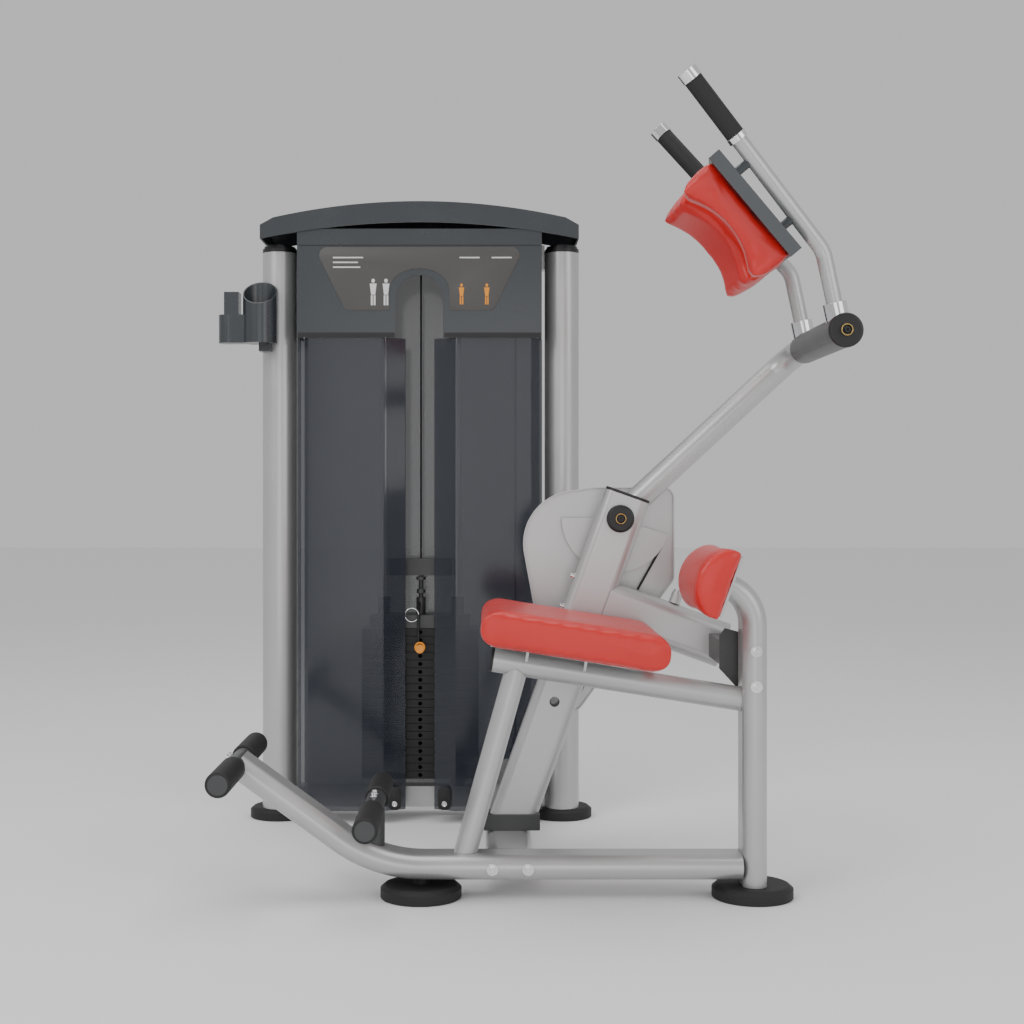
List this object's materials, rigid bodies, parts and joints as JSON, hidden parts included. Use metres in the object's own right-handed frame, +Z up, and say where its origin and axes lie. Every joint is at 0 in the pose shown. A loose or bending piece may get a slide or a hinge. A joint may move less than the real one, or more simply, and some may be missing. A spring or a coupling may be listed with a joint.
{
  "type": "ab crunch machine",
  "caption": "Seated abdominal crunch machine with a swinging shoulder yoke, foot rollers, padded seat and a shrouded weight tower.",
  "frame": {"origin": "on the floor, at the middle of the rear post's floor pad", "axes": "+Z up, -X the way the user faces, +Y from the seat to the weight tower"},
  "size_m": [1.3885, 1.1393, 1.64],
  "materials": {
    "frame_paint": "satin silver-grey powder coat",
    "dark_paint": "satin dark grey powder coat",
    "chrome": "polished",
    "bronze": "sintered bush",
    "rubber": "moulded",
    "black_plastic": "moulded",
    "charcoal_plastic": "glossy moulded",
    "smoke_sheet": "smoke tinted acrylic",
    "red_vinyl": "upholstery vinyl",
    "cast_plate": "black coated",
    "hook_orange": "moulded",
    "cable_black": "nylon coated wire"
  },
  "bodies": {
    "frame": {"base_beam": "frame_paint", "base_tie": "frame_paint", "front_support": "frame_paint", "seat_beam": "frame_paint", "rear_post": "frame_paint", "main_post": "frame_paint", "tube_caps": "black_plastic", "joint_brackets": "dark_paint", "side_rail": "frame_paint", "frame_feet": "rubber", "frame_bolts": "chrome", "pad_plates": "frame_paint", "seat_cushion": "red_vinyl", "lumbar_pad": "red_vinyl", "pivot_shaft": "chrome", "pivot_cap": "black_plastic", "cam_guard": "frame_paint", "rest_stop": "frame_paint", "peg_axles": "dark_paint", "column_left": "frame_paint", "column_right": "frame_paint", "tower_feet": "rubber", "tower_base_beam": "frame_paint", "tower_top_beam": "frame_paint", "crown": "charcoal_plastic", "front_housing": "charcoal_plastic", "front_shrouds": "smoke_sheet", "rear_shroud": "smoke_sheet", "guide_rods": "chrome", "stack_bumpers": "rubber", "weight_stack": "cast_plate", "accessory_tray": "charcoal_plastic", "pulley_brackets": "dark_paint", "pull_cable": "cable_black"},
    "arm": {"swing_arm": "frame_paint", "arm_bushes": "bronze", "arm_cam": "frame_paint", "yoke_shaft": "chrome", "shaft_cap": "black_plastic"},
    "yoke": {"yoke_sleeve": "dark_paint", "yoke_bushes": "bronze", "yoke_chrome": "chrome", "yoke_tube_near": "frame_paint", "yoke_tube_far": "frame_paint", "handle_grips": "rubber", "pad_shells": "charcoal_plastic", "shoulder_pads": "red_vinyl"},
    "lift": {"lifted_plates": "cast_plate", "lift_head": "dark_paint", "lift_cable": "cable_black", "lanyard": "cable_black"},
    "pin": {"selector_pin": "hook_orange"},
    "roller_un": {"roller_upper_near": "rubber"},
    "roller_uf": {"roller_upper_far": "rubber"},
    "roller_ln": {"roller_lower_near": "rubber"},
    "roller_lf": {"roller_lower_far": "rubber"},
    "wheel_low": {"pulleys_low": "black_plastic"},
    "wheel_tower": {"pulley_tower": "black_plastic"},
    "wheel_side": {"pulley_side": "black_plastic"},
    "wheel_centre": {"pulley_centre": "black_plastic"}
  },
  "joints": [
    {"name": "arm_pivot", "type": "hinge", "parent": "frame", "child": "arm", "pos_m": [-0.253, 0.285, 0.77], "axis": [0, -1, 0], "range_deg": [0, 55]},
    {"name": "yoke_pivot", "type": "hinge", "parent": "arm", "child": "yoke", "pos_m": [0.144, 0, 1.138], "axis": [0, 1, 0], "range_deg": [0, 25]},
    {"name": "stack_lift", "type": "slide", "parent": "frame", "child": "lift", "axis": [0, 0, 1], "range_m": [0, 0.1182], "deforming": ["lift_cable"]},
    {"name": "pin_pull", "type": "slide", "parent": "lift", "child": "pin", "axis": [0, -1, 0], "range_m": [0, 0.09]},
    {"name": "upper_near_spin", "type": "hinge", "parent": "frame", "child": "roller_un", "pos_m": [-1.052, 0, 0.274], "axis": [0, 1, 0], "continuous": true},
    {"name": "upper_far_spin", "type": "hinge", "parent": "frame", "child": "roller_uf", "pos_m": [-1.052, 0, 0.274], "axis": [0, 1, 0], "continuous": true},
    {"name": "lower_near_spin", "type": "hinge", "parent": "frame", "child": "roller_ln", "pos_m": [-0.774, 0, 0.187], "axis": [0, 1, 0], "continuous": true},
    {"name": "lower_far_spin", "type": "hinge", "parent": "frame", "child": "roller_lf", "pos_m": [-0.774, 0, 0.187], "axis": [0, 1, 0], "continuous": true},
    {"name": "low_wheel_spin", "type": "hinge", "parent": "frame", "child": "wheel_low", "pos_m": [-0.45343, 0.3522, 0.16342], "axis": [-0.8729, 0, 0.4879], "range_deg": [0, 185.86]},
    {"name": "tower_wheel_spin", "type": "hinge", "parent": "frame", "child": "wheel_tower", "pos_m": [-0.471, 0.754, 0.168], "axis": [-1, 0, 0], "range_deg": [0, 185.86]},
    {"name": "side_wheel_spin", "type": "hinge", "parent": "frame", "child": "wheel_side", "pos_m": [-0.507, 0.79, 1.43], "axis": [0, 1, 0], "range_deg": [0, 185.86]},
    {"name": "centre_wheel_spin", "type": "hinge", "parent": "frame", "child": "wheel_centre", "pos_m": [-0.676, 0.79, 1.43], "axis": [0, 1, 0], "range_deg": [0, 185.86]}
  ],
  "couplings": [
    {"joint": "stack_lift", "follows": "arm_pivot", "m_per_rad": 0.121},
    {"joint": "low_wheel_spin", "follows": "arm_pivot", "ratio": 3.3611},
    {"joint": "tower_wheel_spin", "follows": "arm_pivot", "ratio": 3.3611},
    {"joint": "side_wheel_spin", "follows": "arm_pivot", "ratio": 3.3611},
    {"joint": "centre_wheel_spin", "follows": "arm_pivot", "ratio": 3.3611}
  ]
}
